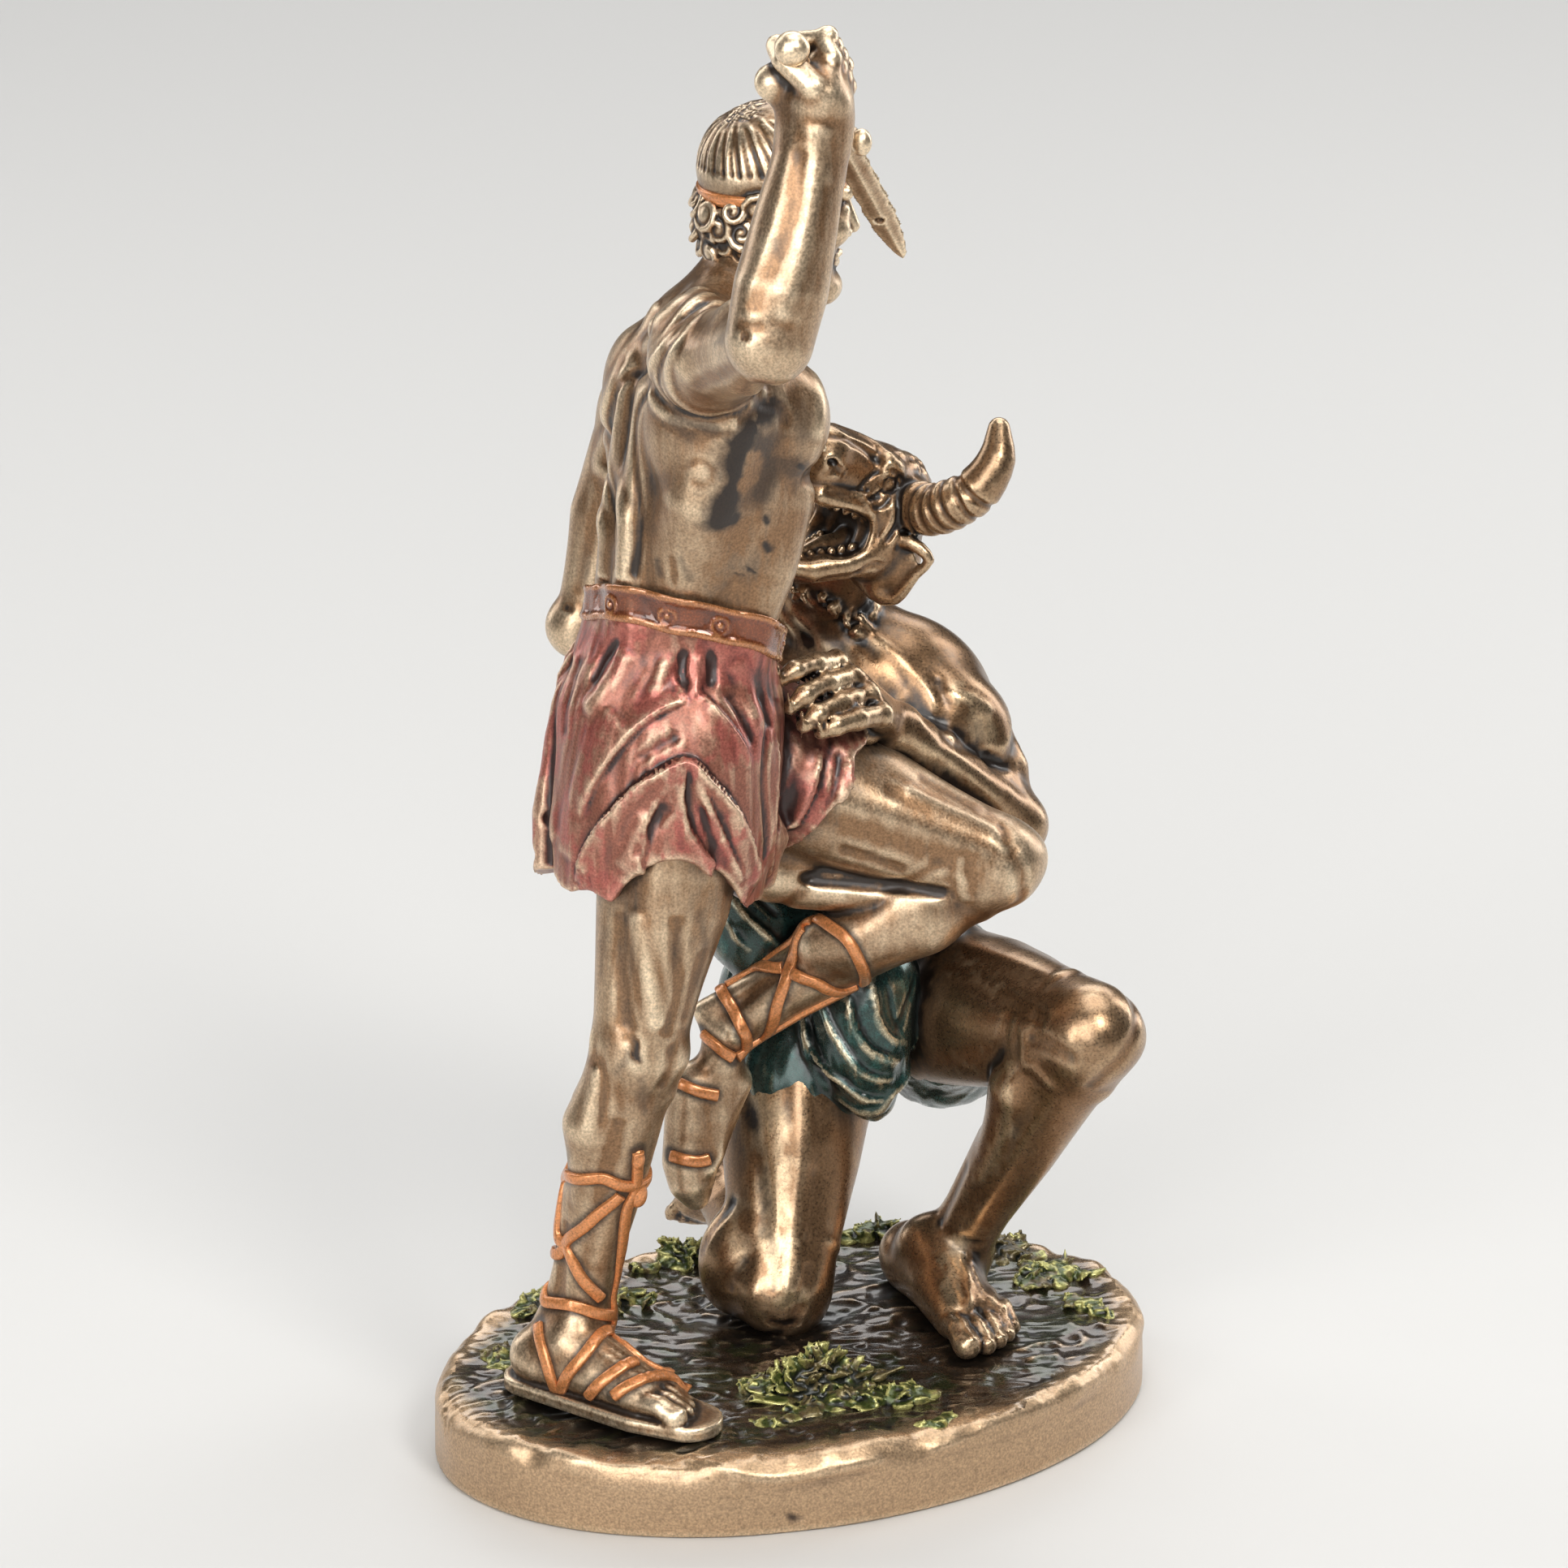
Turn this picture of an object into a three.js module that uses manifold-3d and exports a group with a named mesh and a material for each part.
import * as THREE from 'three';
import Module from 'manifold-3d';

// Theseus and Minotaur, a small cast group on an oval base.
// Millimetres, +Z up. The base's underside is centred on the origin.
// Every joint below is the middle of the limb, not its skin.

const cell = 1.2;
const faces = 8500;
const shortest = 0.12;

const base = {
  long: 59,
  wide: 41,
  height: 12.5,
  turn: 27,
  edge: 2.6,
  wobble: 0.7,
  around: 60,
};

const hero = {
  hipRight: [-16.3, -18, 117.1],
  kneeRight: [-23.4, -24, 71.9],
  ankleRight: [-32.8, -18, 25.5],
  heelRight: [-42.2, -16.5, 14.2],
  toeRight: [-11.4, -35.5, 14.2],
  hipLeft: [-11.4, 4, 107.9],
  kneeLeft: [31.2, 3, 91.5],
  ankleLeft: [-9.7, 7, 63],
  pelvis: [-16.8, -8, 122],
  waist: [-15.9, -10, 136.8],
  chest: [-12.7, -10, 162.7],
  neck: [-7.8, -9, 186.7],
  head: [-2.4, -6, 201.1],
  shoulderRight: [-12.4, -27, 180.8],
  elbowRight: [-3.4, -57, 192.1],
  wristRight: [3.1, -51, 220.1],
  fist: [2.9, -49, 227.1],
  shoulderLeft: [-22, 10, 162.1],
  elbowLeft: [-32.4, 11, 126.9],
  wristLeft: [-9, 26, 137.3],
};

const dagger = {
  pommel: [-0.3, -55, 233.1],
  tip: [15.9, -19, 193.6],
  pommelRadius: 2.5,
  grip: 16,
  gripRadius: 1.5,
  guard: 5.5,
  bladeWidth: 3.9,
  bladeThick: 1.7,
};

const beast = {
  hipRight: [2, 30, 58],
  kneeRight: [-1.9, 7, 19],
  ankleRight: [-12, 35, 23],
  heelRight: [-10, 41.5, 29],
  toeRight: [-20, 43, 14],
  hipLeft: [23, 31, 57],
  kneeLeft: [45.7, -2, 64.9],
  ankleLeft: [26.2, 16, 20.6],
  heelLeft: [15.5, 26, 12.2],
  toeLeft: [30.2, -5, 12.2],
  pelvis: [13, 32, 61],
  waist: [14, 32, 80],
  chest: [13, 28, 105],
  neck: [3.2, 25, 127.1],
  head: [13.5, 18, 146],
  shoulderLeft: [26, 24, 105],
  elbowLeft: [34.3, 19, 91.4],
  wristLeft: [15.3, 8, 111.4],
  palmLeft: [10.5, 3, 117.3],
  shoulderRight: [-7, 31, 112],
  elbowRight: [-13, 38, 92],
  wristRight: [-19, 25, 104],
  palmRight: [-21, 17, 108],
  hornLeft: [
    [17.4, 14, 145.4], [21.2, 9, 146.3], [24.8, 6, 148.4], [28.1, 5, 151.1], [30.6, 6, 155.1],
    [31, 8, 159.4],
  ],
  hornRight: [
    [8.6, 22, 146.3], [3.9, 27, 143.4], [-0.1, 31, 143], [-3.2, 34, 144.4], [-4.9, 36, 147.7],
    [-5.4, 37, 151.6],
  ],
};

const up = [0, 0, 1];

// small vector helpers
const add = (a, b) => [a[0] + b[0], a[1] + b[1], a[2] + b[2]];
const sub = (a, b) => [a[0] - b[0], a[1] - b[1], a[2] - b[2]];
const mul = (a, k) => [a[0] * k, a[1] * k, a[2] * k];
const dot = (a, b) => a[0] * b[0] + a[1] * b[1] + a[2] * b[2];
const cross = (a, b) => [
  a[1] * b[2] - a[2] * b[1], a[2] * b[0] - a[0] * b[2], a[0] * b[1] - a[1] * b[0],
];
const unit = (a) => mul(a, 1 / Math.hypot(...a));
const mix = (a, b, t) => add(mul(a, 1 - t), mul(b, t));
const across = (axis, hint) => unit(sub(hint, mul(axis, dot(hint, axis))));
const frameAt = (o, f, r, u) => (a, b, c) => add(o, add(mul(f, a), add(mul(r, b), mul(u, c))));

// distance to a rod with a ball of its own radius at each end
function taperedRod(p, a, b, ra, rb) {
  const bx = b[0] - a[0];
  const by = b[1] - a[1];
  const bz = b[2] - a[2];
  const px = p[0] - a[0];
  const py = p[1] - a[1];
  const pz = p[2] - a[2];
  const l2 = bx * bx + by * by + bz * bz;
  const rr = ra - rb;
  const a2 = l2 - rr * rr;
  if (a2 < 1e-6) {
    const near = ra > rb ? a : b;
    return Math.hypot(p[0] - near[0], p[1] - near[1], p[2] - near[2]) - Math.max(ra, rb);
  }
  const y = px * bx + py * by + pz * bz;
  const z = y - l2;
  const qx = px * l2 - bx * y;
  const qy = py * l2 - by * y;
  const qz = pz * l2 - bz * y;
  const x2 = qx * qx + qy * qy + qz * qz;
  const y2 = y * y * l2;
  const z2 = z * z * l2;
  const k = Math.sign(rr) * rr * rr * x2;
  if (Math.sign(z) * a2 * z2 > k) return Math.sqrt(x2 + z2) / l2 - rb;
  if (Math.sign(y) * a2 * y2 < k) return Math.sqrt(x2 + y2) / l2 - ra;
  return (Math.sqrt(x2 * a2 / l2) + y * rr) / l2 - ra;
}

function softMin(a, b, k) {
  if (k <= 0) return Math.min(a, b);
  const h = Math.max(k - Math.abs(a - b), 0) / k;
  return Math.min(a, b) - h * h * k * 0.25;
}

// a body built up in order from rods and balls that flow into each other
function clay() {
  const steps = [];
  const push = (at, low, high, blend, how) => steps.push({ at, low, high, blend, how });
  const body = {
    steps,
    push,
    rod(points, radii, blend = 1.5, how = 'add') {
      const most = Math.max(...radii);
      const low = [0, 1, 2].map((i) => Math.min(...points.map((q) => q[i])) - most);
      const high = [0, 1, 2].map((i) => Math.max(...points.map((q) => q[i])) + most);
      push((p) => {
        let d = Infinity;
        for (let i = 0; i + 1 < points.length; i++) {
          d = Math.min(d, taperedRod(p, points[i], points[i + 1], radii[i], radii[i + 1]));
        }
        return d;
      }, low, high, blend, how);
    },
    ball(centre, size, blend = 1.5, axes = [[1, 0, 0], [0, 1, 0], [0, 0, 1]], how = 'add') {
      const reach = [0, 1, 2].map((i) => Math.hypot(
        axes[0][i] * size[0], axes[1][i] * size[1], axes[2][i] * size[2],
      ));
      push((p) => {
        const w = sub(p, centre);
        const a = dot(w, axes[0]) / size[0];
        const b = dot(w, axes[1]) / size[1];
        const c = dot(w, axes[2]) / size[2];
        const k0 = Math.hypot(a, b, c);
        const k1 = Math.hypot(a / size[0], b / size[1], c / size[2]);
        return k0 * (k0 - 1) / Math.max(k1, 1e-6);
      }, sub(centre, reach), add(centre, reach), blend, how);
    },
    slab(centre, half, axes, round, blend = 1, how = 'add') {
      const span = (i) => [0, 1, 2].reduce((sum, k) => sum + Math.abs(axes[k][i] * half[k]), 0);
      const reach = [span(0), span(1), span(2)];
      push((p) => {
        const w = sub(p, centre);
        const q = [0, 1, 2].map((i) => Math.abs(dot(w, axes[i])) - half[i] + round);
        return Math.hypot(
          Math.max(q[0], 0), Math.max(q[1], 0), Math.max(q[2], 0),
        ) + Math.min(Math.max(...q), 0) - round;
      }, sub(centre, reach), add(centre, reach), blend, how);
    },
    // another body joined on, trimmed by its own rule
    join(other, blend, trim = (p, d) => d) {
      const box = other.box();
      push((p) => trim(p, other.distance(p)), box.low, box.high, blend, 'add');
    },
    box() {
      const grown = steps.filter((s) => s.how === 'add');
      return {
        low: [0, 1, 2].map((i) => Math.min(...grown.map((s) => s.low[i]))),
        high: [0, 1, 2].map((i) => Math.max(...grown.map((s) => s.high[i]))),
      };
    },
    distance(p, list = steps) {
      let d = 9;
      for (const s of list) {
        const e = s.at(p);
        d = s.how === 'add' ? softMin(d, e, s.blend) : -softMin(-d, e, s.blend);
      }
      return d;
    },
  };
  return body;
}

// a point on a limb: t along it, then forward and sideways from its middle
function limb(a, b, front) {
  const axis = unit(sub(b, a));
  const forward = across(axis, front);
  const side = cross(axis, forward);
  return (t, f = 0, s = 0) => add(mix(a, b, t), add(mul(forward, f), mul(side, s)));
}

function leg(body, hip, knee, ankle, front, size, thick, calf) {
  const k = size;
  const kb = k * thick;
  const kc = k * calf;
  const thigh = limb(hip, knee, front);
  body.rod(
    [thigh(0), thigh(0.35, 0.6 * k), thigh(0.72, 0.2 * k), thigh(1)],
    [11.8, 10.8, 8.6, 7.2].map((r) => r * kb), 3,
  );
  body.rod(
    [thigh(0.12, 3.2 * k, 0.5), thigh(0.5, 4 * k), thigh(0.86, 2.2 * k)],
    [6.5, 6.4, 3.6].map((r) => r * kb), 2,
  );
  for (const s of [-1, 1]) {
    body.rod(
      [thigh(0.2, 1, s * 4.8 * k), thigh(0.56, 1.6 * k, s * 4.7 * k), thigh(0.91, 2.2 * k, s * 3.7 * k)],
      [5.8, 4.8, 3.1].map((r) => r * kb), 2);
    body.rod(
      [thigh(0.1, -4.5 * k, s * 2 * k), thigh(0.5, -4 * k, s * 2.5 * k), thigh(0.97, -3.4 * k, s * 3.5 * k)],
      [6.6, 5.2, 2.2].map((r) => r * kb), 2);
  }
  const shin = limb(knee, ankle, front);
  const cap = unit(add(across(unit(sub(ankle, knee)), front), across(unit(sub(knee, hip)), front)));
  body.ball(add(knee, mul(cap, 4.4 * k)), [3.5 * k, 3.5 * k, 3.7 * k], 2);
  body.rod([add(knee, mul(cap, 3.3 * k)), shin(0.12, 4.4 * k)], [3 * k, 2.5 * k], 1.6);
  body.rod(
    [shin(0), shin(0.25, -0.6 * k), shin(0.5, -0.6 * k), shin(0.78, -0.6 * k), shin(1)],
    [6.9 * kb, 6.7 * kc, 5.8 * kc, 4.6 * kc, 4.5 * kc], 2.4,
  );
  for (const s of [-1, 1]) {
    body.rod(
      [shin(0.1, -3.2 * k, s * 2.6 * k), shin(0.28, -4 * k, s * 3 * k), shin(0.53, -2.4 * k, s * 2.2 * k)],
      [3.6, 4.7, 2.4].map((r) => r * kc), 1.6);
    body.ball(shin(0.985, 0, s * 3.7 * k), [1.9 * k, 1.9 * k, 1.9 * k], 1.6);
  }
  body.rod(
    [shin(0.1, 3.2 * k, 0.6), shin(0.5, 2.9 * k, 0.4 * k), shin(0.95, 1.6 * k, 0.6)],
    [2.6 * k, 2.4 * k, 1.8 * k], 1.6,
  );
  body.rod(
    [shin(0.55, -4 * k), shin(0.85, -3.8 * k), shin(1.04, -4.2 * k)],
    [2.2 * k, 1.5 * k, 1.8 * k], 2,
  );
}

// side is -1 for a right foot and 1 for a left one
function foot(body, heel, toe, top, ankle, side, k) {
  const forward = unit(sub(toe, heel));
  const rise = across(forward, top);
  const right = cross(forward, rise);
  const length = Math.hypot(...sub(toe, heel));
  const at = (t, u, s = 0) => add(
    heel,
    add(mul(forward, length * t), add(mul(rise, u * k), mul(right, s * k * side))),
  );
  body.rod([at(0.12, 3.6), at(0.25, 3.4)], [3.9 * k, 3.6 * k], 1.5);
  body.rod([at(0.12, 4.2), sub(ankle, rise)], [4 * k, 4.4 * k], 2.5);
  body.rod([at(0.3, 7), at(0.5, 4.7), at(0.72, 3)], [4.4 * k, 4 * k, 2.6 * k], 2);
  body.rod([at(0.2, 3, 1.2), at(0.5, 2.5, 2.4), at(0.76, 2.2, 2.6)], [3.4 * k, 2.8 * k, 2.3 * k], 2);
  body.rod([at(0.2, 3.2, -1), at(0.5, 3.8, -2), at(0.76, 2.7, -2.7)], [3.4 * k, 3.2 * k, 2.7 * k], 2);
  const toes = [
    [-3.9, 1, 1.85], [-1.35, 1, 1.35], [0.75, 0.965, 1.25], [2.6, 0.92, 1.2], [4.3, 0.86, 1.15],
  ];
  for (const [s, t, r] of toes) {
    body.rod(
      [at(t - 0.2, 2.7, s * 0.92), at(t - 0.085, 2.55, s), at(t - 0.03, r * 0.95, s)],
      [1.08 * r * k, 1.05 * r * k, r * k], 0.5,
    );
  }
  return { at, rise };
}

// flat sandal sole under a foot
function sole(body, print, size, thick) {
  const { at, rise } = print;
  const heel = at(0.1, 0);
  const ball = at(0.72, 0, -0.4);
  const tip = at(0.93, 0, -0.6);
  const flatten = (q) => sub(q, mul(rise, dot(sub(q, heel), rise)));
  const reach = size * 1.6;
  within(body, heel, tip, reach, (p) => {
    const q = flatten(p);
    const rear = taperedRod(q, heel, flatten(ball), size * 0.72, size);
    const fore = taperedRod(q, flatten(ball), flatten(tip), size, size * 0.8);
    const outline = Math.min(rear, fore);
    const level = Math.abs(dot(sub(p, heel), rise)) - thick;
    return Math.max(outline, level);
  });
}

// a shape given by its own distance rule, near the line from a to b
function within(body, a, b, reach, at) {
  const low = [0, 1, 2].map((i) => Math.min(a[i], b[i]) - reach);
  const high = [0, 1, 2].map((i) => Math.max(a[i], b[i]) + reach);
  body.push(at, low, high, 0.5, 'add');
}

function arm(body, shoulder, elbow, wrist, back, k, thick, round) {
  const b = k * thick;
  const upper = limb(shoulder, elbow, back);
  body.ball(upper(0.02), [1, 1, 1].map((r) => r * 7.8 * b * round), 3);
  body.rod(
    [upper(0), upper(0.28, 0.3), upper(0.62), upper(1)], [7.4, 6.4, 5.2, 4.5].map((r) => r * b),
    2.5,
  );
  for (const s of [-1, 1]) {
    body.rod(
      [upper(0.02, 0.8, s * 3 * k), upper(0.25, 0.5, s * 3.2 * k), upper(0.5, 0, s * 2.2 * k)],
      [5, 4.5, 1.8].map((r) => r * b), 1.6,
    );
  }
  body.rod(
    [upper(0.3, -2.6 * k), upper(0.58, -3.2 * k), upper(0.86, -1.6 * k)],
    [3.4, 4, 2].map((r) => r * b), 1.4,
  );
  body.rod(
    [upper(0.2, 2.8 * k, 1.2), upper(0.5, 3 * k, 1.2), upper(0.86, 2 * k)],
    [3.6, 3.8, 2.2].map((r) => r * b), 1.4,
  );
  const fore = limb(elbow, wrist, back);
  body.ball(upper(1, 1.5 * k), [3.6 * k, 3.6 * k, 3.6 * k], 1.6);
  body.rod([fore(0), fore(0.25), fore(0.6), fore(1)], [5.2, 5.6, 5, 4.1].map((r) => r * b), 2);
  for (const s of [-1, 1]) {
    body.rod(
      [fore(0, -0.5, s * 2.4 * k), fore(0.25, -0.3, s * 3 * k), fore(0.61, 0, s * 1.7 * k)],
      [3.2, 3.6, 1.9].map((r) => r * b), 1.4,
    );
  }
  body.rod([fore(0, 2.2 * k), fore(0.5, 2.6 * k), fore(0.98, 1.6 * k)], [2.2 * k, 2 * k, 1.7 * k], 1.4);
}

// hand closed round a grip that runs along the line given
function closedHand(body, wrist, centre, line, palmSide, k) {
  const a = unit(line);
  const w = across(a, sub(centre, wrist));
  const side = cross(a, w);
  const p = dot(side, palmSide) < 0 ? mul(side, -1) : side;
  const at = (x, y, z) => add(centre, add(mul(a, x * k), add(mul(w, y * k), mul(p, z * k))));
  body.slab(at(0, -1.2, -2), [4.6 * k, 4.2 * k, 2.6 * k], [a, w, p], 2 * k, 1.8);
  body.rod([wrist, at(0, -3.5, -1.2)], [3.6 * k, 3.9 * k], 2);
  for (const [x, r] of [[-3.6, 1.35], [-1.2, 1.45], [1.2, 1.45], [3.6, 1.3]]) {
    body.rod([at(x, 1.2, -3.2), at(x, 4, -1.6), at(x, 4, 1.8), at(x, 1, 3.2), at(x, -0.8, 2.4)],
      [1.1 * r * k, 1.1 * r * k, r * k, r * k, 0.9 * r * k], 0.45);
  }
  body.rod([at(-4.2, -3.5, -1.5), at(-6.2, -0.5, 2.2), at(-5.4, 2.2, 3.9)], [1.9, 1.8, 1.6], 0.8);
}

// open hand laid over something, each finger given by its three joints
function openHand(body, wrist, palm, fingers, thumb) {
  body.rod([wrist, palm], [3.9, 4], 1.8);
  for (const joints of fingers) {
    body.rod([palm, ...joints], [3, 1.75, 1.65, 1.5], 0.5);
  }
  body.rod([mix(wrist, palm, 0.4), ...thumb], [2.6, 1.9, 1.6], 0.8);
}

function heroBody() {
  const body = clay();
  const j = hero;
  body.ball(j.pelvis, [12.5, 14, 12], 3, [unit([1, 0.2, 0]), unit([-0.2, 1, 0]), up]);
  body.ball(add(j.hipRight, [-4.5, 3, 1.5]), [10, 10, 10.5], 3);
  body.ball(add(j.hipLeft, [-6.5, -2.5, 2]), [10, 9.5, 10], 3);
  const axis = unit(sub(j.chest, j.waist));
  const front = across(axis, [0.92, 0.36, 0]);
  const right = cross(front, axis);
  const at = frameAt(j.chest, front, right, axis);
  const axes = [front, right, axis];
  body.rod([add(j.pelvis, [0, 0, 3]), j.waist, mix(j.waist, j.chest, 0.45)], [12.2, 12.4, 13], 4);
  body.ball(at(0, 0, -3), [12.8, 16.5, 21.5], 4, axes);
  body.ball(at(-1, 0, 9), [11, 17, 12], 4, axes);
  body.rod([at(-2, 3, 17), add(j.shoulderRight, [-1, 2, 0])], [7.5, 7.6], 4);
  body.rod([at(-2, -4, 16), add(j.shoulderLeft, [1, -3, 0])], [7, 6.2], 4);
  body.rod([at(-3, 0, 16), j.neck, mix(j.neck, j.head, 0.5)], [7, 6.4, 6.2], 3);
  body.rod([add(j.neck, [0, -1, 0]), add(j.shoulderRight, [-3, 4, 3])], [4.6, 4.2], 3);
  body.rod([add(j.neck, [-2, 1, -1]), add(j.shoulderLeft, [2, -5, 4])], [4.4, 3.8], 3);
  for (const s of [-1, 1]) {
    body.rod([at(-4, s * 13.2, 8), at(-5, s * 12.2, -4), at(-4.5, s * 8, -18)], [6, 6, 4.5], 4);
    body.ball(at(7.4, s * 7.6, 6.5), [5.6, 7.6, 7.2], 2.5, axes);
    for (let i = 0; i < 3; i++) {
      body.ball(at(9.4 - i * 0.3, s * 3.4, -7 - 6.5 * i), [3.2, 3.4, 3.4], 1.5, axes);
      body.rod([at(6, s * 11.5, -6 * i), at(0, s * (14 - 0.8 * i), -3 - 6 * i)], [2.2, 1.6], 2);
    }
    body.rod([at(5, s * 9.5, -20), at(4, s * 8.5, -29)], [4.2, 4.6], 3);
    body.ball(at(-9.5, s * 8.5, 6.5), [4, 6.2, 8.5], 2.5, axes);
    body.rod(
      [at(-9.8, s * 3.4, 8), at(-10.4, s * 3.4, -10), at(-9, s * 3.8, -28)], [3.4, 3.6, 4.2],
      2.5,
    );
  }
  body.rod([at(-13.6, 0, 14), at(-14.8, 0, -8), at(-13.6, 0, -28)], [0.9, 1.1, 0.9], 2, 'cut');
  leg(body, j.hipRight, j.kneeRight, j.ankleRight, [0.95, -0.2, 0.3], 1, 0.95, 0.97);
  leg(body, add(j.hipLeft, [2, 0, 0]), j.kneeLeft, j.ankleLeft, [1, 0, -0.25], 1, 0.95, 0.88);
  const print = foot(body, j.heelRight, j.toeRight, up, j.ankleRight, -1, 1);
  sole(body, print, 6.2, 1.3);
  const hanging = add(j.ankleLeft, [-4.6, -1.5, -1.5]);
  foot(body, hanging, add(j.ankleLeft, [-7.2, -3.5, -27]), [1, 0.45, 0.1], j.ankleLeft, 1, 0.8);
  arm(body, j.shoulderRight, j.elbowRight, j.wristRight, [0, -0.35, -1], 1, 1, 1);
  arm(body, j.shoulderLeft, j.elbowLeft, j.wristLeft, [-1, -0.2, -0.2], 1, 0.95, 0.9);
  closedHand(body, j.wristRight, j.fist, sub(dagger.tip, dagger.pommel), [-1, 0.2, 0], 1.05);
  closedHand(
    body, j.wristLeft, beast.hornRight[2], sub(beast.hornRight[3], beast.hornRight[1]),
    [1, 0, 0.3], 0.95,
  );
  return body;
}

// calm, regular features under a cap of hair tied by a headband
function heroHead() {
  const body = clay();
  const front = unit([0.93, 0.34, -0.1]);
  const rise = across(front, up);
  const right = cross(front, rise);
  const at = frameAt(hero.head, front, right, rise);
  const axes = [front, right, rise];
  body.ball(at(-1.5, 0, 2), [10.4, 9, 9.8], 2, axes);
  body.ball(at(3.2, 0, -5), [7.4, 7.2, 10.5], 2.5, axes);
  for (const s of [-1, 1]) {
    body.rod([at(1, s * 4.8, -8), at(7.8, s * 1.6, -15.2)], [3.6, 2.7], 2);
    body.rod([at(9, s * 5, 0.2), at(10.4, 0, 0.4)], [1.5, 1.5], 1.5);
    body.ball(at(11.2, s * 3.6, -2.9), [2.6, 2.4, 1.7], 1.2, axes, 'cut');
    body.ball(at(8.6, s * 3.6, -2.7), [1.9, 2.1, 1.7], 0.3, axes);
    body.ball(at(7, s * 5.2, -5.5), [3, 2.6, 2.6], 2, axes);
    body.ball(at(11, s * 1.4, -7), [1.2, 1, 0.9], 0.6, axes);
  }
  body.rod([at(10, 0, -0.6), at(12.8, 0, -6.4)], [1, 1.35], 0.8);
  body.rod([at(9.4, -2, -10.9), at(10.3, 0, -10.8), at(9.4, 2, -10.9)], [0.8, 1, 0.8], 0.8);
  body.ball(at(8.9, 0, -15.2), [2.6, 2.8, 2.4], 1.5, axes);
  body.ball(at(-1.2, 0, 2.6), [11.2, 10, 10.2], 0.6, axes);
  const locks = [[10.2, 13], [9, 12], [7.6, 11]];
  locks.forEach(([radius, count], row) => {
    for (let i = 0; i < count; i++) {
      const a = THREE.MathUtils.degToRad(62 + 236 * (i + 0.5 * (row % 2)) / (count - 0.5));
      const lift = -2.2 - 3.6 * row + 3 * Math.cos(a);
      body.ball(
        at(-1.2 + 1.05 * radius * Math.cos(a), 0.92 * radius * Math.sin(a), lift),
        [2.2, 2.2, 2.2], 0.5, axes,
      );
    }
  });
  for (let i = -3; i <= 3; i++) {
    const a = THREE.MathUtils.degToRad(20 * i);
    body.ball(
      at(-1.2 + 10.8 * Math.cos(a), 9.6 * Math.sin(a), 3.4 + 0.6 * Math.cos(a)),
      [1.9, 1.9, 1.9], 0.5, axes,
    );
  }
  return body;
}

function shortSword() {
  const body = clay();
  const line = unit(sub(dagger.tip, dagger.pommel));
  const side = unit(cross(line, [0, 1, 0.2]));
  const along = (t) => add(dagger.pommel, mul(line, t));
  const r = dagger.pommelRadius;
  body.ball(dagger.pommel, [r, r, r], 0.5);
  body.rod([dagger.pommel, along(dagger.grip)], [dagger.gripRadius, dagger.gripRadius], 0.5);
  const guard = along(dagger.grip + 1);
  body.rod([sub(guard, mul(side, dagger.guard)), add(guard, mul(side, dagger.guard))], [1.3, 1.3], 0.5);
  return body;
}

// the blade, a long diamond section with a ridge down each face
function blade() {
  const line = unit(sub(dagger.tip, dagger.pommel));
  const length = Math.hypot(...sub(dagger.tip, dagger.pommel));
  const side = unit(cross(line, [0, 1, 0.2]));
  const flat = cross(line, side);
  const at = frameAt(dagger.pommel, line, side, flat);
  const w = dagger.bladeWidth / 2;
  const h = dagger.bladeThick / 2;
  const sections = [
    [dagger.grip - 6, 0.8, 1], [dagger.grip + 2, 1, 1], [length - 4.5, 0.94, 0.9],
    [length - 1.5, 0.62, 0.7], [length, 0.2, 0.4],
  ];
  const points = sections.flatMap(([t, wide, tall]) => [
    at(t, w * wide, 0), at(t, 0, h * tall), at(t, -w * wide, 0), at(t, 0, -h * tall),
  ]);
  const triangles = [[0, 2, 1], [0, 3, 2]];
  for (let i = 0; i + 1 < sections.length; i++) {
    for (let c = 0; c < 4; c++) {
      const a = 4 * i + c;
      const b = 4 * i + ((c + 1) % 4);
      triangles.push([a, b, b + 4], [a, b + 4, a + 4]);
    }
  }
  const last = 4 * (sections.length - 1);
  triangles.push([last, last + 1, last + 2], [last, last + 2, last + 3]);
  return { points, triangles };
}

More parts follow.
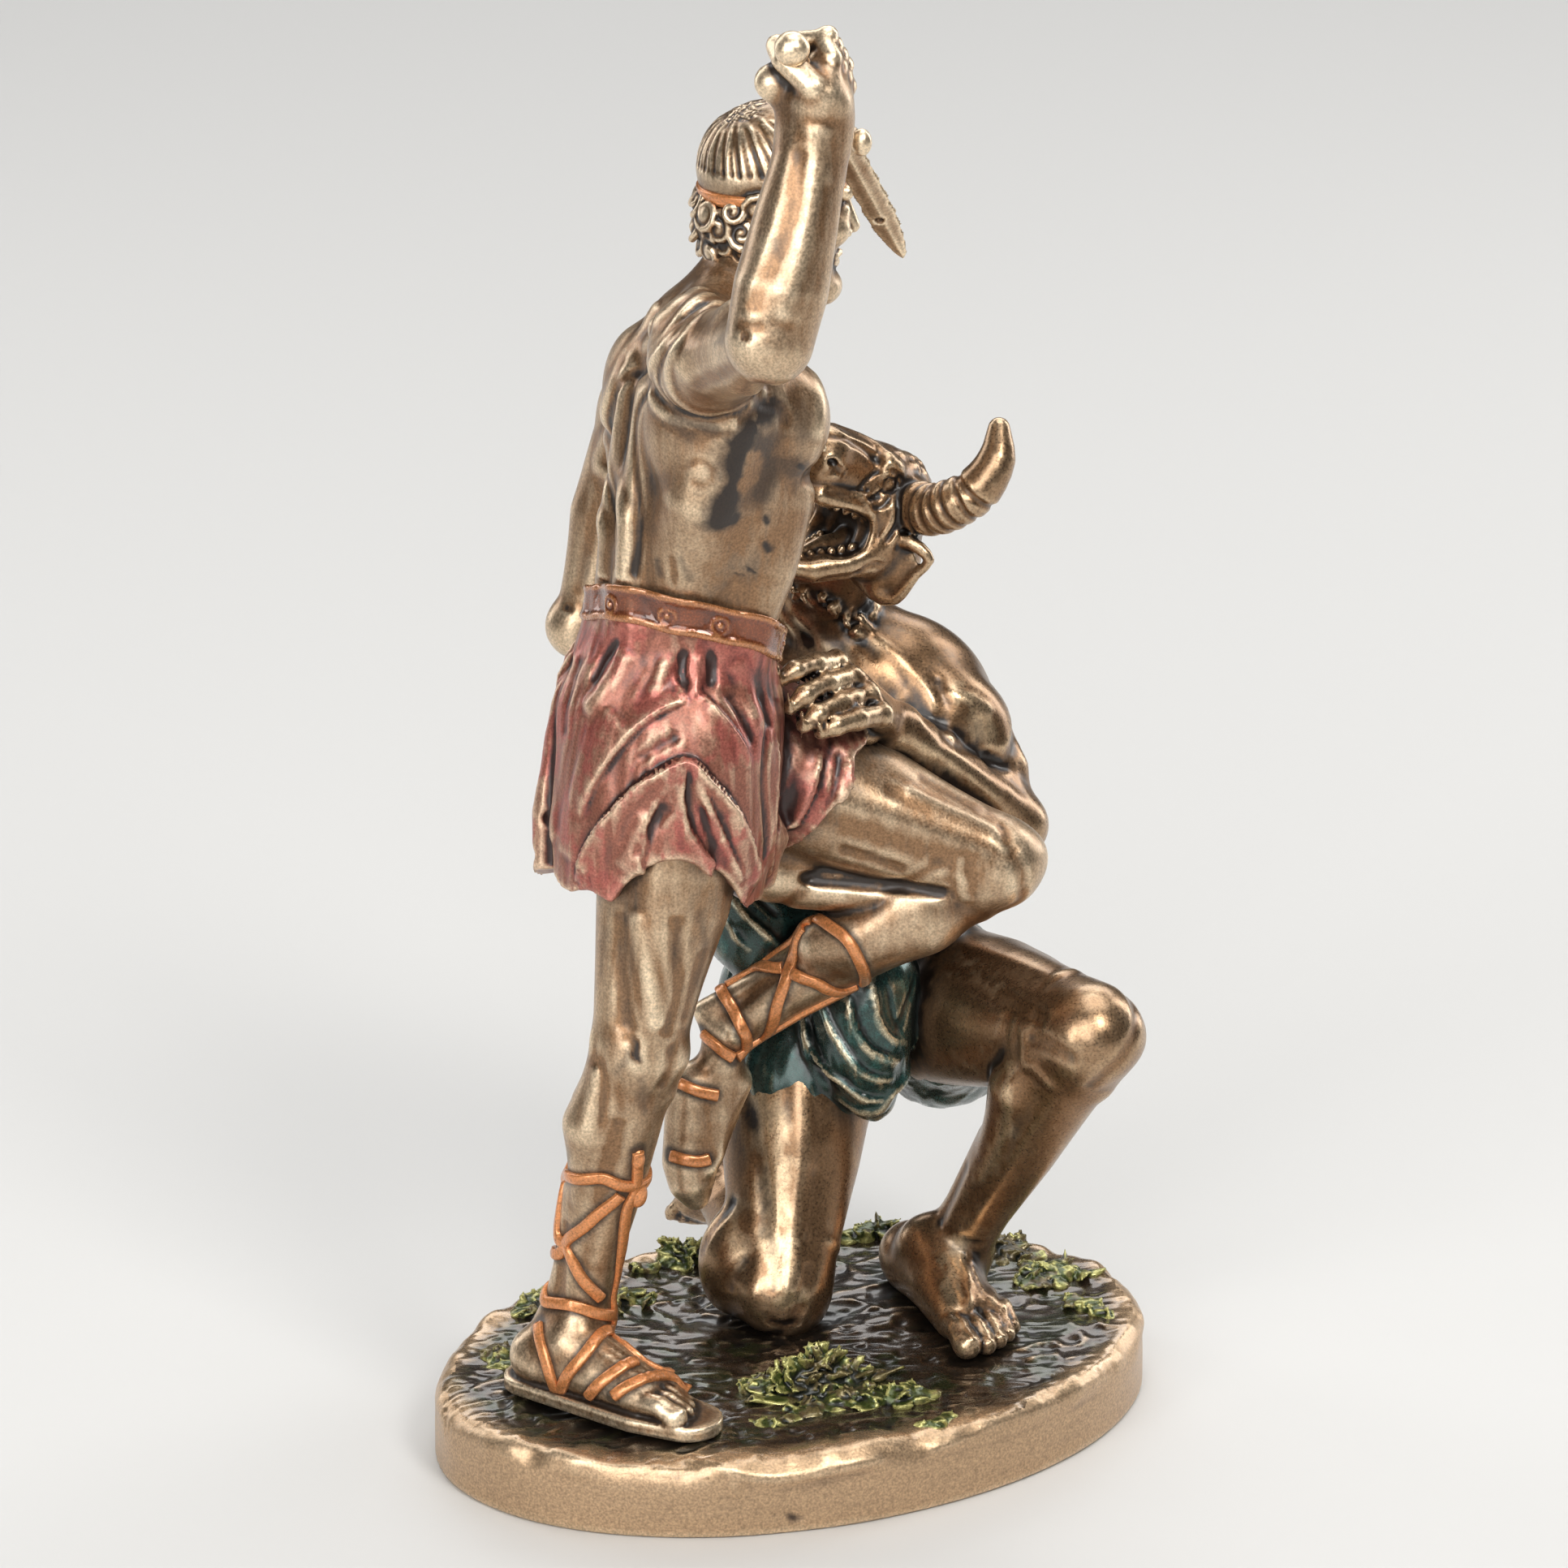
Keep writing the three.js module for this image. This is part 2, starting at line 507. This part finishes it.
// short tunic: one skirt round the standing thigh, one drawn over the raised thigh
function tunic() {
  const body = clay();
  const skirt = clay();
  skirt.rod(
    [[-17.7, -9, 130.7], [-18.7, -11, 119.8], [-19.5, -14, 106], [-21, -18, 90.5]],
    [14.2, 17.4, 17.2, 15], 2,
  );
  skirt.ball(add(hero.hipLeft, [-6.5, -2.5, 0]), [11.5, 11.5, 12.5], 3);
  // folds fall from the belt and gather over the standing thigh, each as angle round it and height
  const fold = (turn, height) => {
    const a = THREE.MathUtils.degToRad(turn);
    const t = (130 - height) / 36;
    const out = 14.6 + 2.6 * Math.sin(Math.min(t, 1) * 2.2);
    return [-17.9 - 2.6 * t + out * Math.cos(a), -9.5 - 7 * t + out * Math.sin(a), height];
  };
  const folds = [
    [[-100, 128], [-92, 116], [-72, 104], [-58, 95]],
    [[-118, 127], [-128, 114], [-132, 100], [-128, 92]],
    [[-62, 126], [-76, 115], [-104, 105], [-120, 94]],
    [[-40, 124], [-44, 112], [-38, 100], [-34, 91]],
    [[-150, 129], [-160, 115], [-162, 100], [-158, 92]],
    [[170, 129], [168, 114], [164, 100], [160, 92]],
    [[140, 128], [136, 114], [128, 104], [122, 94]],
    [[-84, 108], [-92, 100], [-88, 93], [-86, 90]],
  ];
  for (const path of folds) {
    skirt.rod(path.map(([a, z]) => fold(a, z)), [1.2, 2.1, 2.3, 1.7], 1.2);
  }
  const hem = [-20.7, -16, 94.7];
  const down = unit([-0.1, -0.12, -1]);
  body.join(skirt, 0.6, (p, d) => {
    const w = sub(p, hem);
    const a = Math.atan2(w[1] - 6, w[0] + 2);
    return Math.max(d, dot(w, down) + 1.5 * Math.cos(3 * a + 0.6) + Math.cos(7 * a));
  });
  const lap = clay();
  lap.rod([[-11.4, 3, 112.2], [6.5, 3, 103], [21.5, 3, 97.1]], [14, 12.4, 11.8], 2);
  for (const [x, lean] of [[-3, 0], [1.5, 1.5], [6, 2.5]]) {
    const upper = [[x + 3, -2, 119 - 0.5 * x], [x, -9 - lean * 0.3, 111 - 0.6 * x]];
    const lower = [[x - 4, -12.5, 101 - 0.6 * x], [x - 7, -10, 93 - 0.4 * x]];
    lap.rod([...upper, ...lower], [1, 1.9, 2, 1.4], 1.2);
  }
  const edge = [4.3, -6, 103.7];
  const out = unit([0.8, 0.1, -0.6]);
  body.join(lap, 1.5, (p, d) => Math.max(d, dot(sub(p, edge), out)));
  // belt with a raised rim at each edge
  const tilt = unit([0.23, 0.41, 1]);
  const centre = [-16.3, -9, 134.1];
  const x = across(tilt, [1, 0.2, 0]);
  const y = cross(tilt, x);
  within(body, centre, centre, 18, (p) => {
    const w = sub(p, centre);
    const s = Math.abs(dot(w, tilt));
    const around = Math.hypot(dot(w, x), dot(w, y)) - 15.1 - (Math.abs(s - 2) < 0.5 ? 0.3 : 0);
    return Math.max(around, s - 2.5);
  });
  return body;
}

function beastBody() {
  const body = clay();
  const j = beast;
  body.ball(add(j.pelvis, [0, 0, -1]), [16, 13, 14], 4);
  body.ball(add(j.hipRight, [-1, 5, -6]), [10.5, 10.5, 12], 4);
  body.ball(add(j.hipLeft, [1, 4, -6]), [10.5, 10.5, 12], 4);
  body.rod([j.pelvis, j.waist, mix(j.waist, j.chest, 0.5)], [14.5, 13.5, 15], 5);
  const axis = unit(sub(j.chest, j.waist));
  const front = across(axis, [0.15, -1, 0.3]);
  const right = cross(front, axis);
  const at = frameAt(j.chest, front, right, axis);
  const axes = [front, right, axis];
  body.ball(j.chest, [14, 19, 19], 5, axes);
  body.rod([at(-2, 4, 10), j.shoulderRight], [9, 9], 4);
  body.rod([at(-2, -4, 6), add(j.shoulderLeft, [-2, 0, -1])], [7.5, 6.2], 4);
  for (const s of [-1, 1]) {
    body.ball(at(8, s * 8.8, 3.5), [7, 9.8, 8.5], 3, axes);
    for (let i = 0; i < 3; i++) {
      body.ball(at(10.5 - 0.6 * i, s * 4.2, -10 - 7 * i), [3.6, 4.2, 3.8], 1.6, axes);
    }
  }
  body.rod([at(-5, 1, 9), add(j.neck, [0, 1, 0]), mix(j.neck, j.head, 0.55)], [8.5, 7.6, 6.6], 3);
  leg(body, j.hipRight, j.kneeRight, j.ankleRight, [-0.1, -1, -0.4], 1.08, 1.02, 0.9);
  leg(body, j.hipLeft, j.kneeLeft, j.ankleLeft, [0.8, -0.6, 0.3], 1.08, 1.02, 0.98);
  foot(body, j.heelLeft, j.toeLeft, up, j.ankleLeft, -1, 1.05);
  foot(body, j.heelRight, j.toeRight, [-0.3, -1, -0.3], j.ankleRight, -1, 0.85);
  arm(body, j.shoulderLeft, j.elbowLeft, j.wristLeft, [1, 0.1, -0.6], 1, 1, 1);
  arm(body, j.shoulderRight, j.elbowRight, j.wristRight, [0, 0.8, -0.6], 1.05, 1.05, 1);
  openHand(body, j.wristLeft, j.palmLeft, [
    [[9.2, 0, 122], [4, -6, 124.5], [-0.7, -8, 125.1]],
    [[9.2, -2, 120.9], [4.2, -8, 123], [0.3, -9, 122.1]],
    [[9.6, -4, 119], [5.4, -10, 121], [2.3, -10, 119.6]],
    [[10.6, -5, 117], [7.4, -10, 118.4], [4.5, -9, 117]],
  ], [[13.3, 2, 111.3], [9.6, -2, 112.3]]);
  openHand(body, j.wristRight, j.palmRight, [
    [[-21, 12, 113], [-23, 6, 115], [-25, 2, 114]],
    [[-22.5, 12, 111], [-26, 6, 112], [-28, 2, 110.5]],
    [[-24, 12, 109], [-28.5, 7, 109], [-30.5, 3, 107]],
    [[-25, 13, 106.5], [-29.5, 9, 105.5], [-31.5, 6, 103.5]],
  ], [[-18, 12, 109], [-15, 10, 113]]);
  return body;
}

// bull's head thrown back with the mouth wide open
function beastHead() {
  const body = clay();
  const front = unit([-0.62, -0.64, 0.42]);
  const rise = across(front, [0.2, 0.1, 0.97]);
  const left = cross(rise, front);
  const at = frameAt(beast.head, front, left, rise);
  const axes = [front, left, rise];
  body.ball(at(-1, 0, 0), [8.2, 6.6, 7.2], 2, axes);
  body.ball(at(3.5, 0, 3.2), [6, 6, 3.6], 2, axes);
  body.rod([at(4, 0, 1.2), at(10, 0, 1.4), at(16, 0, 0.8)], [5.6, 4.7, 4.4], 2);
  body.ball(at(17, 0, 0.4), [3, 4.8, 3.9], 1.5, axes);
  for (const s of [1, -1]) {
    body.ball(at(17.8, s * 3.2, 1.2), [2, 1.7, 1.8], 0.8, axes);
    body.ball(at(19.2, s * 3.3, 1.1), [1.5, 0.9, 1], 0.4, axes, 'cut');
    body.rod(
      [at(5, s * 5, -2.4), at(12, s * 4.3, -3), at(17, s * 3.2, -3.2), at(19, 0, -2.8)],
      [1.8, 1.5, 1.3, 1.3], 1,
    );
    body.ball(at(6.2, s * 4.9, 4.4), [2.8, 2.2, 2], 1, axes);
    body.ball(at(5.8, s * 5.4, 2), [1.7, 1.3, 1.5], 0.3, axes);
    body.rod([at(2, s * 4.9, -1.5), at(1.2, s * 4.8, -6)], [3.4, 3.2], 2);
    body.rod([at(1, s * 4.2, -6.5), at(7, s * 3.6, -11.4), at(12, s * 2, -14.4)], [2.8, 2.1, 1.9], 1.2);
    body.rod(
      [at(-2, s * 5, -3), at(-2.6, s * 8.5, -4.6), at(-2.4, s * 11, -5.4)], [1.4, 1.5, 0.5],
      0.8,
    );
    body.rod(
      [at(-2, s * 5, -4), at(-1.5, s * 5.6, -7.5), at(-0.6, s * 5.6, -10.2)], [1.4, 1.6, 1.1],
      0.8,
    );
    body.ball(at(-2.2, s * 6.6, -6), [1.1, 3, 3], 0.6, axes);
  }
  for (const horn of [beast.hornLeft, beast.hornRight]) {
    body.rod(horn, [4.2, 4.1, 3.9, 3.4, 2.5, 0.9], 1);
  }
  body.ball(at(13.2, 0, -14.8), [2.4, 2.8, 2], 1.2, axes);
  body.rod([at(3, 0, -9.5), at(11, 0, -14.6)], [2.6, 2.2], 1.5);
  body.rod([at(22, 0, -7.5), at(12, 0, -7), at(5.5, 0, -6.2)], [3.6, 3.4, 2.6], 0.6, 'cut');
  body.ball(at(7, 0, -6.8), [4, 3.6, 3.4], 0.6, axes, 'cut');
  body.rod([at(-1, 0, -3), at(-3, 2, -9)], [6.2, 6], 3);
  return body;
}

function loincloth() {
  const body = clay();
  const wrap = clay();
  const j = beast;
  wrap.ball(add(j.pelvis, [-0.5, 2, 0]), [18.5, 17, 14], 3);
  wrap.ball(add(j.hipRight, [-1, 5, -6]), [12, 12, 13], 4);
  wrap.ball(add(j.hipLeft, [1, 4, -6]), [12, 12, 13], 4);
  wrap.rod([j.hipRight, mix(j.hipRight, j.kneeRight, 0.28)], [14, 13.2], 3);
  wrap.rod([j.hipLeft, mix(j.hipLeft, j.kneeLeft, 0.3)], [14, 13.6], 3);
  wrap.rod([[10.6, 16, 66.4], [11.3, 12, 57.1], [12.4, 11, 49.3]], [9, 7, 4], 3);
  for (const [drop, width] of [[62, 7], [57, 6], [52, 4.5]]) {
    const front = 4 + (62 - drop) * 0.22;
    wrap.rod(
      [[11.4 - width, front + 4, drop + 5], [11.6, front, drop], [11.8 + width, front + 5, drop + 5]],
      [1.2, 2.1, 1.2], 1,
    );
  }
  const top = 74;
  body.join(wrap, 0.6, (p, d) => Math.max(d, p[2] - top + 0.1 * (p[1] - 30)));
  return body;
}

// clumps of moss and mud that stand up from the base
function ground() {
  const body = clay();
  const tufts = [
    [4, -29, 7, 2.6], [-3, -27, 5, 2.2], [10, -26, 5, 2], [16, -23, 4, 1.6],
    [26, 33, 5, 2.4], [40, 20, 5, 1.8], [-44, 4, 6, 1.6], [-2, 24, 8, 2.2],
  ];
  for (const [x, y, wide, tall] of tufts) {
    body.ball([x, y, base.height - 0.6], [wide, wide * 0.8, tall], 1);
  }
  body.rod(
    [add(beast.kneeRight, [0, 0, -3]), [-9, 22, base.height], [-14, 32, base.height + 1]],
    [8, 6, 5], 3,
  );
  return body;
}

// surface of a body as a closed mesh, every cube of the grid split in six
function surface(body, size) {
  const box = body.box();
  const pad = 2 * size;
  const low = box.low.map((v) => v - pad);
  const count = [0, 1, 2].map((i) => Math.ceil((box.high[i] - low[i] + pad) / size) + 1);
  const [nx, ny, nz] = count;
  const value = new Float32Array(nx * ny * nz).fill(9);
  const index = (i, j, k) => (i * ny + j) * nz + k;
  const block = 6;
  for (let bi = 0; bi < nx; bi += block) {
    for (let bj = 0; bj < ny; bj += block) {
      for (let bk = 0; bk < nz; bk += block) {
        const from = [bi, bj, bk].map((b, i) => low[i] + b * size);
        const to = from.map((v) => v + block * size);
        const near = body.steps.filter((s) => [0, 1, 2].every((i) => {
          const slack = s.blend + 1.5;
          return from[i] < s.high[i] + slack && to[i] > s.low[i] - slack;
        }));
        if (near.length === 0) continue;
        for (let i = bi; i < Math.min(bi + block, nx); i++) {
          for (let j = bj; j < Math.min(bj + block, ny); j++) {
            for (let k = bk; k < Math.min(bk + block, nz); k++) {
              const d = body.distance([low[0] + i * size, low[1] + j * size, low[2] + k * size], near);
              value[index(i, j, k)] = d === 0 ? 1e-6 : d;
            }
          }
        }
      }
    }
  }
  const paths = [[0, 1, 2], [0, 2, 1], [1, 0, 2], [1, 2, 0], [2, 0, 1], [2, 1, 0]];
  const found = new Map();
  const points = [];
  const triangles = [];
  const vertex = (a, b) => {
    const kind = (b[0] - a[0]) * 4 + (b[1] - a[1]) * 2 + (b[2] - a[2]);
    const key = index(...a) * 8 + kind;
    if (found.has(key)) return found.get(key);
    const va = value[index(...a)];
    const vb = value[index(...b)];
    const t = Math.min(Math.max(va / (va - vb), 0.06), 0.94);
    points.push([0, 1, 2].map((i) => low[i] + size * (a[i] + (b[i] - a[i]) * t)));
    found.set(key, points.length - 1);
    return points.length - 1;
  };
  const emit = (a, b, c, out) => {
    const n = cross(sub(points[b], points[a]), sub(points[c], points[a]));
    triangles.push(dot(n, out) >= 0 ? [a, b, c] : [a, c, b]);
  };
  for (let i = 0; i + 1 < nx; i++) {
    for (let j = 0; j + 1 < ny; j++) {
      for (let k = 0; k + 1 < nz; k++) {
        const first = value[index(i, j, k)] < 0;
        let mixed = false;
        for (let c = 1; c < 8 && !mixed; c++) {
          mixed = value[index(i + (c >> 2), j + ((c >> 1) & 1), k + (c & 1))] < 0 !== first;
        }
        if (!mixed) continue;
        for (const path of paths) {
          const corners = [[i, j, k]];
          for (const axis of path) {
            const next = [...corners[corners.length - 1]];
            next[axis] += 1;
            corners.push(next);
          }
          const inside = corners.map((c) => value[index(...c)] < 0);
          const ins = [0, 1, 2, 3].filter((c) => inside[c]);
          const outs = [0, 1, 2, 3].filter((c) => !inside[c]);
          if (ins.length === 0 || outs.length === 0) continue;
          const centre = (list) => mul(
            list.reduce((s, c) => add(s, corners[c]), [0, 0, 0]), 1 / list.length,
          );
          const out = sub(centre(outs), centre(ins));
          const cut = (a, b) => vertex(corners[Math.min(a, b)], corners[Math.max(a, b)]);
          if (ins.length === 1) {
            emit(cut(ins[0], outs[0]), cut(ins[0], outs[1]), cut(ins[0], outs[2]), out);
          } else if (outs.length === 1) {
            emit(cut(outs[0], ins[0]), cut(outs[0], ins[1]), cut(outs[0], ins[2]), out);
          } else {
            const q = [
              cut(ins[0], outs[0]), cut(ins[0], outs[1]), cut(ins[1], outs[1]),
              cut(ins[1], outs[0]),
            ];
            emit(q[0], q[1], q[2], out);
            emit(q[0], q[2], q[3], out);
          }
        }
      }
    }
  }
  return { points, triangles };
}

// edge collapse by the flatness of the surface round each corner
function simplify(mesh, target, shortestEdge, weightAt) {
  const points = mesh.points.map((p) => [...p]);
  const triangles = mesh.triangles.map((t) => [...t]);
  const alive = triangles.map(() => true);
  const around = points.map(() => new Set());
  triangles.forEach((t, i) => t.forEach((v) => around[v].add(i)));
  const quadric = points.map(() => new Float64Array(10));
  for (const t of triangles) {
    const [a, b, c] = t.map((v) => points[v]);
    const n = cross(sub(b, a), sub(c, a));
    const area = Math.hypot(...n);
    if (area < 1e-12) continue;
    const [x, y, z] = mul(n, 1 / area);
    const w = -(x * a[0] + y * a[1] + z * a[2]);
    const terms = [x * x, x * y, x * z, x * w, y * y, y * z, y * w, z * z, z * w, w * w];
    const weight = area * weightAt(a);
    for (const v of t) {
      for (let i = 0; i < 10; i++) quadric[v][i] += terms[i] * weight;
    }
  }
  const cost = (q, p) => p[0] * (q[0] * p[0] + 2 * (q[1] * p[1] + q[2] * p[2] + q[3]))
    + p[1] * (q[4] * p[1] + 2 * (q[5] * p[2] + q[6]))
    + p[2] * (q[7] * p[2] + 2 * q[8]) + q[9];
  const best = (a, b) => {
    const q = quadric[a].map((v, i) => v + quadric[b][i]);
    const [m00, m01, m02, v0, m11, m12, v1, m22, v2] = q;
    const rows = [[m00, m01, m02], [m01, m11, m12], [m02, m12, m22]];
    const det = dot(rows[0], cross(rows[1], rows[2]));
    const middle = mix(points[a], points[b], 0.5);
    const choices = [points[a], points[b], middle];
    const scale = Math.max(m00, m11, m22);
    if (Math.abs(det) > 1e-4 * scale * scale * scale) {
      const v = [-v0, -v1, -v2];
      const solved = [
        dot(v, cross(rows[1], rows[2])) / det,
        dot(rows[0], cross(v, rows[2])) / det,
        dot(rows[0], cross(rows[1], v)) / det,
      ];
      const away = Math.hypot(...sub(solved, middle));
      const edge = Math.hypot(...sub(points[a], points[b]));
      if (away < 2 * edge) choices.push(solved);
    }
    let pick = null;
    for (const p of choices) {
      const c = cost(q, p);
      if (pick === null || c < pick.cost) pick = { p, cost: c };
    }
    const length = Math.hypot(...sub(points[a], points[b]));
    return { p: pick.p, cost: Math.max(pick.cost, 0) + 1e-5 * length * length };
  };
  const heap = [];
  const stamp = points.map(() => 0);
  const swap = (i, j) => {
    const held = heap[i];
    heap[i] = heap[j];
    heap[j] = held;
  };
  const insert = (entry) => {
    heap.push(entry);
    let i = heap.length - 1;
    while (i > 0 && heap[(i - 1) >> 1].cost > heap[i].cost) {
      swap(i, (i - 1) >> 1);
      i = (i - 1) >> 1;
    }
  };
  const take = () => {
    const top = heap[0];
    const last = heap.pop();
    if (heap.length > 0) {
      heap[0] = last;
      let i = 0;
      for (;;) {
        let least = i;
        for (const c of [2 * i + 1, 2 * i + 2]) {
          if (c < heap.length && heap[c].cost < heap[least].cost) least = c;
        }
        if (least === i) break;
        swap(i, least);
        i = least;
      }
    }
    return top;
  };
  const offer = (a, b) => {
    const { p, cost: price } = best(a, b);
    const length = Math.hypot(...sub(points[a], points[b]));
    insert({
      a, b, p, cost: length < shortestEdge ? -1 / (length + 1e-9) : price, stampA: stamp[a],
      stampB: stamp[b],
    });
  };
  const neighbours = (v) => {
    const set = new Set();
    for (const f of around[v]) {
      for (const w of triangles[f]) if (w !== v) set.add(w);
    }
    return set;
  };
  points.forEach((_, v) => {
    for (const w of neighbours(v)) if (w > v) offer(v, w);
  });
  let left = triangles.length;
  while (heap.length > 0) {
    const { a, b, p, cost: price, stampA, stampB } = take();
    if (left <= target && price >= 0) break;
    if (stamp[a] !== stampA || stamp[b] !== stampB) continue;
    if (around[a].size === 0 || around[b].size === 0) continue;
    const na = neighbours(a);
    const nb = neighbours(b);
    if (!na.has(b)) continue;
    let shared = 0;
    for (const v of na) if (nb.has(v)) shared += 1;
    if (shared !== 2) continue;
    const gone = [...around[a]].filter((f) => triangles[f].includes(b));
    const turned = (v) => [...around[v]].some((f) => {
      if (gone.includes(f)) return false;
      const old = triangles[f].map((w) => points[w]);
      const moved = triangles[f].map((w) => (w === v ? p : points[w]));
      const n0 = cross(sub(old[1], old[0]), sub(old[2], old[0]));
      const n1 = cross(sub(moved[1], moved[0]), sub(moved[2], moved[0]));
      const l0 = Math.hypot(...n0);
      const l1 = Math.hypot(...n1);
      const longest = Math.max(...[0, 1, 2].map((i) => Math.hypot(...sub(
        moved[i], moved[(i + 1) % 3],
      ))));
      return l1 < 0.06 * longest * longest || dot(n0, n1) < 0.25 * l0 * l1;
    });
    if (price >= 0 && (turned(a) || turned(b))) continue;
    if (price < 0) {
      const flips = [a, b].some((v) => [...around[v]].some((f) => {
        if (gone.includes(f)) return false;
        const old = triangles[f].map((w) => points[w]);
        const moved = triangles[f].map((w) => (w === v ? p : points[w]));
        return dot(
          cross(sub(old[1], old[0]), sub(old[2], old[0])),
          cross(sub(moved[1], moved[0]), sub(moved[2], moved[0])),
        ) <= 0;
      }));
      if (flips) continue;
    }
    for (const f of gone) {
      alive[f] = false;
      for (const v of triangles[f]) around[v].delete(f);
      left -= 1;
    }
    for (const f of around[b]) {
      triangles[f] = triangles[f].map((v) => (v === b ? a : v));
      around[a].add(f);
    }
    around[b].clear();
    points[a] = p;
    for (let i = 0; i < 10; i++) quadric[a][i] += quadric[b][i];
    stamp[a] += 1;
    for (const v of neighbours(a)) offer(Math.min(a, v), Math.max(a, v));
  }
  const kept = triangles.filter((_, i) => alive[i]);
  const order = new Map();
  const outPoints = [];
  const outTriangles = kept.map((t) => t.map((v) => {
    if (!order.has(v)) {
      order.set(v, outPoints.length);
      outPoints.push(points[v]);
    }
    return order.get(v);
  }));
  return { points: outPoints, triangles: outTriangles };
}

// oval base with a worn, uneven rim
function plinth() {
  const turn = THREE.MathUtils.degToRad(base.turn);
  const rings = [
    [0, 0], [1, 0], [1.004, 3], [0.998, base.height - base.edge - 1], [
      0.99, base.height - base.edge * 0.45,
    ],
    [
      0.965, base.height - 0.25,
    ], [0.93, base.height], [0.7, base.height], [0.45, base.height], [0.2, base.height], [0, base.height],
  ];
  const points = [];
  const triangles = [];
  const start = rings.map(([scale, z], r) => {
    const first = points.length;
    const steps = scale === 0 ? 1 : base.around;
    for (let i = 0; i < steps; i++) {
      const a = 2 * Math.PI * i / base.around;
      const rough = z > 1 ? 1 : 0;
      const wear = base.wobble * (Math.sin(5 * a + 1) + 0.6 * Math.sin(11 * a + 2) + 0.4 * Math.sin(17 * a));
      const inward = rough * wear * (r >= 3 && r <= 6 ? 0.7 : 0.3) / base.long;
      const x = base.long * (scale - inward * scale) * Math.cos(a);
      const y = base.wide * (scale - inward * scale) * Math.sin(a);
      const mud = 0.35 * Math.sin(0.21 * x + 1.3 * Math.sin(0.17 * y)) + 0.25 * Math.sin(0.33 * y + 2);
      const swell = r >= 5 && scale > 0 ? mud : 0;
      points.push([
        x * Math.cos(turn) - y * Math.sin(turn), x * Math.sin(turn) + y * Math.cos(turn),
        z + swell,
      ]);
    }
    return first;
  });
  for (let r = 0; r + 1 < rings.length; r++) {
    for (let i = 0; i < base.around; i++) {
      const j = (i + 1) % base.around;
      const inner = rings[r][0] === 0 ? [start[r], start[r]] : [start[r] + i, start[r] + j];
      const outer = rings[r + 1][0] === 0 ? [start[r + 1], start[r + 1]] : [
        start[r + 1] + i, start[r + 1] + j,
      ];
      if (inner[0] !== inner[1]) triangles.push([inner[0], inner[1], outer[1]]);
      if (outer[0] !== outer[1]) triangles.push([inner[0], outer[1], outer[0]]);
    }
  }
  return { points, triangles };
}

const wasm = await Module();
wasm.setup();

function toManifold(mesh) {
  return new wasm.Manifold(new wasm.Mesh({
    numProp: 3,
    vertProperties: new Float32Array(mesh.points.flat()),
    triVerts: new Uint32Array(mesh.triangles.flat()),
  }));
}

function fromManifold(solid) {
  const mesh = solid.getMesh();
  const points = [];
  for (let i = 0; i < mesh.numVert; i++) {
    points.push([0, 1, 2].map((k) => mesh.vertProperties[i * mesh.numProp + k]));
  }
  const triangles = [];
  for (let i = 0; i < mesh.triVerts.length; i += 3) {
    triangles.push([...mesh.triVerts.slice(i, i + 3)]);
  }
  return { points, triangles };
}

// the two figures, their clothes and the moss are one casting
const figures = clay();
const theseus = [heroBody(), heroHead(), shortSword(), tunic()];
const minotaur = [beastBody(), beastHead(), loincloth()];
for (const piece of [...theseus, ...minotaur, ground()]) {
  piece.steps.forEach((s, i) => figures.push(s.at, s.low, s.high, i === 0 ? 0.6 : s.blend, s.how));
}
const heads = [hero.head, beast.head, beast.palmLeft, hero.fist];
const weightAt = (p) => 1 + 5 * Math.max(...heads.map((h) => Math.exp(-Math.pow(
  Math.hypot(...sub(p, h)) / 14, 2,
))));
const modelled = simplify(surface(figures, cell), faces, shortest, weightAt);
const whole = toManifold(modelled).add(toManifold(plinth())).add(toManifold(blade()));
const parts = whole.decompose().sort((a, b) => b.volume() - a.volume());
const finished = simplify(fromManifold(parts[0]), Infinity, shortest, () => 1);

const geometry = new THREE.BufferGeometry();
geometry.setAttribute('position', new THREE.Float32BufferAttribute(finished.points.flat(), 3));
geometry.setIndex(finished.triangles.flat());
geometry.computeVertexNormals();

const bronze = new THREE.MeshStandardMaterial({ color: 0x9a7a55, metalness: 0.7, roughness: 0.4 });
const statue = new THREE.Mesh(geometry, bronze);
statue.name = 'theseus_minotaur_casting';

const group = new THREE.Group();
group.name = 'theseus_and_minotaur';
group.add(statue);

export default group;
